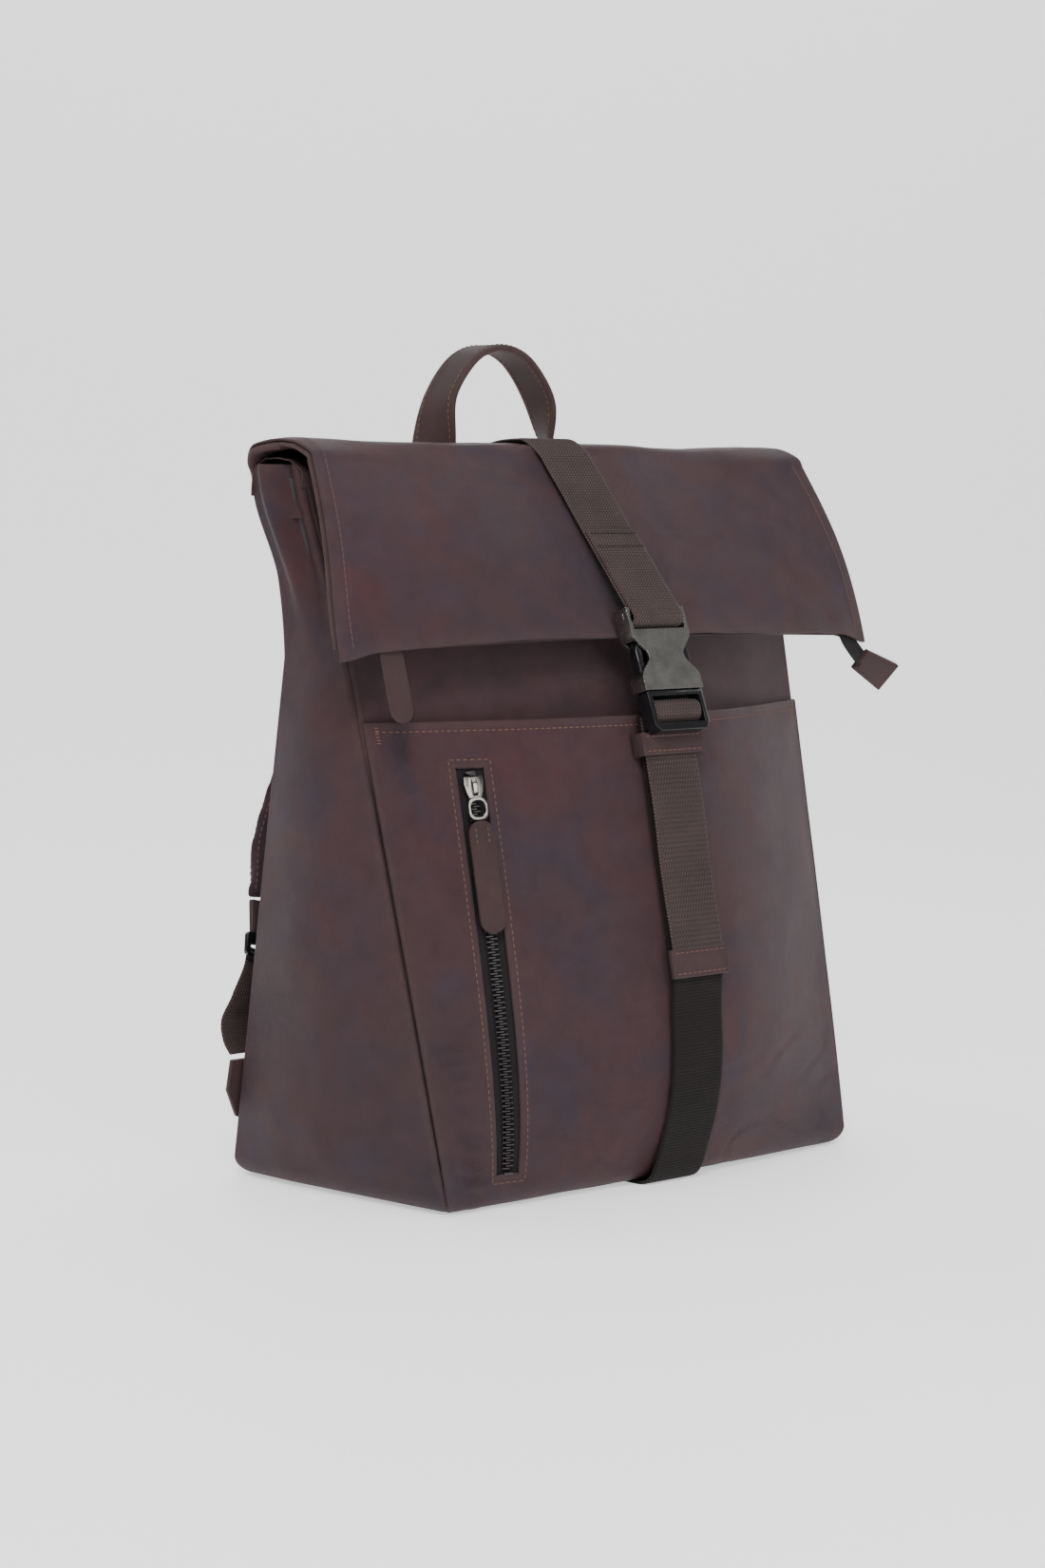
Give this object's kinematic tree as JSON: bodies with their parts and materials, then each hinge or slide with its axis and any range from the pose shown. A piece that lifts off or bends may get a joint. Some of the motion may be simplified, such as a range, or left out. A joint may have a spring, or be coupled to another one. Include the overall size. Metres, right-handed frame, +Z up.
{
  "type": "roll-top leather backpack",
  "caption": "Tapered leather backpack with a folded top flap, a webbing strap with a side-release buckle, an upright pocket zip, a top handle and two shoulder straps.",
  "frame": {"origin": "centre of the base, on the surface the bag stands on", "axes": "+Z up, -Y the front with the buckle, +Y the wearer's side, +X the bag's right as seen from the front"},
  "size_m": [0.4367, 0.2121, 0.4616],
  "materials": {
    "shell_leather": "waxed pull-up leather, grey-brown with burgundy mottling, fine grain, soft sheen",
    "neck_leather": "the same leather, darker and with a finer pebbled grain",
    "trim_leather": "stitched leather trim with painted edges",
    "strap_webbing": "close woven webbing, matt, cross ribbed",
    "lower_webbing": "dark woven webbing with coarse cross ribs",
    "zip_tape": "woven zip tape, nearly black",
    "lining_cloth": "plain woven lining cloth",
    "back_foam": "closed-cell padding",
    "base_board": "flexible moulded stiffener",
    "zip_metal": "polished zip metal, lightly tarnished",
    "gunmetal": "brushed gunmetal with bright bevelled edges",
    "buckle_black": "semi-gloss black moulding"
  },
  "bodies": {
    "root": {"front_panel": "neck_leather", "front_pocket_panel": "shell_leather", "side_gusset_left": "shell_leather", "side_gusset_right": "shell_leather", "back_panel": "shell_leather", "back_foam": "back_foam", "base_panel": "shell_leather", "base_board": "base_board", "lining": "lining_cloth", "zip_pocket_bag": "lining_cloth", "back_yoke": "trim_leather", "closure_webbing_back": "strap_webbing", "lower_webbing": "lower_webbing", "webbing_tail_held": "lower_webbing", "front_zip_tape_left": "zip_tape", "front_zip_tape_right": "zip_tape", "front_zip_teeth_left": "zip_metal", "front_zip_teeth_right": "zip_metal", "front_zip_stop_bottom": "zip_metal", "front_zip_stop_top": "zip_metal", "strap_anchor_left": "trim_leather", "strap_anchor_right": "trim_leather"},
    "top_fold": {"top_fold_outer": "shell_leather", "top_fold_inner": "shell_leather", "closure_webbing_top": "strap_webbing"},
    "flap": {"flap_outer": "shell_leather", "flap_inner": "neck_leather", "mouth_zip_tape": "zip_tape", "mouth_zip_teeth": "zip_metal", "mouth_zip_tape_end": "zip_tape", "mouth_zip_end_tab": "trim_leather", "closure_webbing_front": "strap_webbing", "buckle_female": "gunmetal"},
    "mouth_slider": {"mouth_zip_slider": "zip_metal"},
    "mouth_puller": {"mouth_pull_ring": "zip_metal", "mouth_puller": "trim_leather"},
    "buckle_male": {"buckle_male": "buckle_black", "buckle_webbing": "strap_webbing"},
    "buckle_arm_left": {"buckle_arm_left": "buckle_black"},
    "buckle_arm_right": {"buckle_arm_right": "buckle_black"},
    "webbing_tail": {"webbing_tail": "strap_webbing", "webbing_tail_tip": "trim_leather"},
    "keeper": {"strap_keeper": "trim_leather"},
    "front_slider": {"front_zip_slider": "zip_metal"},
    "front_puller": {"front_pull_ring": "zip_metal", "front_puller": "trim_leather"},
    "handle": {"top_handle": "trim_leather"},
    "strap_left": {"strap_pad_left": "shell_leather", "strap_tab_left": "trim_leather", "strap_adjuster_left": "gunmetal", "strap_webbing_left": "strap_webbing"},
    "strap_right": {"strap_pad_right": "shell_leather", "strap_tab_right": "trim_leather", "strap_adjuster_right": "gunmetal", "strap_webbing_right": "strap_webbing"}
  },
  "joints": [
    {"name": "fold_back", "type": "hinge", "parent": "root", "child": "top_fold", "pos_m": [0, 0.026, 0.4025], "axis": [-1, 0, 0], "range_deg": [0, 90]},
    {"name": "fold_front", "type": "hinge", "parent": "top_fold", "child": "flap", "pos_m": [0, -0.01, 0.4025], "axis": [-1, 0, 0], "range_deg": [0, 60]},
    {"name": "mouth_zip", "type": "hinge", "parent": "flap", "child": "mouth_slider", "pos_m": [0, 1.212, 0.3095], "axis": [0, 0, 1], "range_deg": [0, 15.1]},
    {"name": "mouth_pull", "type": "hinge", "parent": "mouth_slider", "child": "mouth_puller", "pos_m": [-0.172, -0.0577, 0.30576], "axis": [-1, 0, 0], "range_deg": [-38, 2.5]},
    {"name": "buckle_release", "type": "slide", "parent": "root", "child": "buckle_male", "axis": [0, -0.342, -0.9397], "range_m": [0, 0.032]},
    {"name": "buckle_arm_left", "type": "hinge", "parent": "buckle_male", "child": "buckle_arm_left", "pos_m": [-0.0165, -0.09346, 0.2749], "axis": [0, 0.9397, -0.342], "range_deg": [0, 7], "stiffness_Nm_per_rad": 0.6},
    {"name": "buckle_arm_right", "type": "hinge", "parent": "buckle_male", "child": "buckle_arm_right", "pos_m": [0.0165, -0.09346, 0.2749], "axis": [0, -0.9397, 0.342], "range_deg": [0, 7], "stiffness_Nm_per_rad": 0.6},
    {"name": "tail_lift", "type": "hinge", "parent": "root", "child": "webbing_tail", "pos_m": [0, -0.10139, 0.21364], "axis": [-1, 0, 0], "range_deg": [0, 80]},
    {"name": "keeper_slide", "type": "slide", "parent": "root", "child": "keeper", "axis": [0, -0.191, -0.9816], "range_m": [0, 0.1]},
    {"name": "front_zip", "type": "hinge", "parent": "root", "child": "front_slider", "pos_m": [-0.1195, 0.984, -0.036], "axis": [1, 0, 0], "range_deg": [0, 9.8]},
    {"name": "front_pull", "type": "hinge", "parent": "front_slider", "child": "front_puller", "pos_m": [-0.12121, -0.07142, 0.21731], "axis": [-0.9252, 0.3723, -0.0731], "range_deg": [0, 90]},
    {"name": "handle_fold", "type": "hinge", "parent": "root", "child": "handle", "pos_m": [0, 0.04, 0.363], "axis": [-1, 0, 0], "range_deg": [0, 85]},
    {"name": "strap_swing_left", "type": "hinge", "parent": "root", "child": "strap_left", "pos_m": [-0.05, 0.039, 0.309], "axis": [-0.3734, 0.1531, -0.9149], "range_deg": [-10, 25]},
    {"name": "strap_swing_right", "type": "hinge", "parent": "root", "child": "strap_right", "pos_m": [0.05, 0.039, 0.309], "axis": [0.3734, 0.1531, -0.9149], "range_deg": [-25, 10]}
  ],
  "couplings": [
    {"joint": "fold_front", "follows": "fold_back", "ratio": 0.6666}
  ]
}
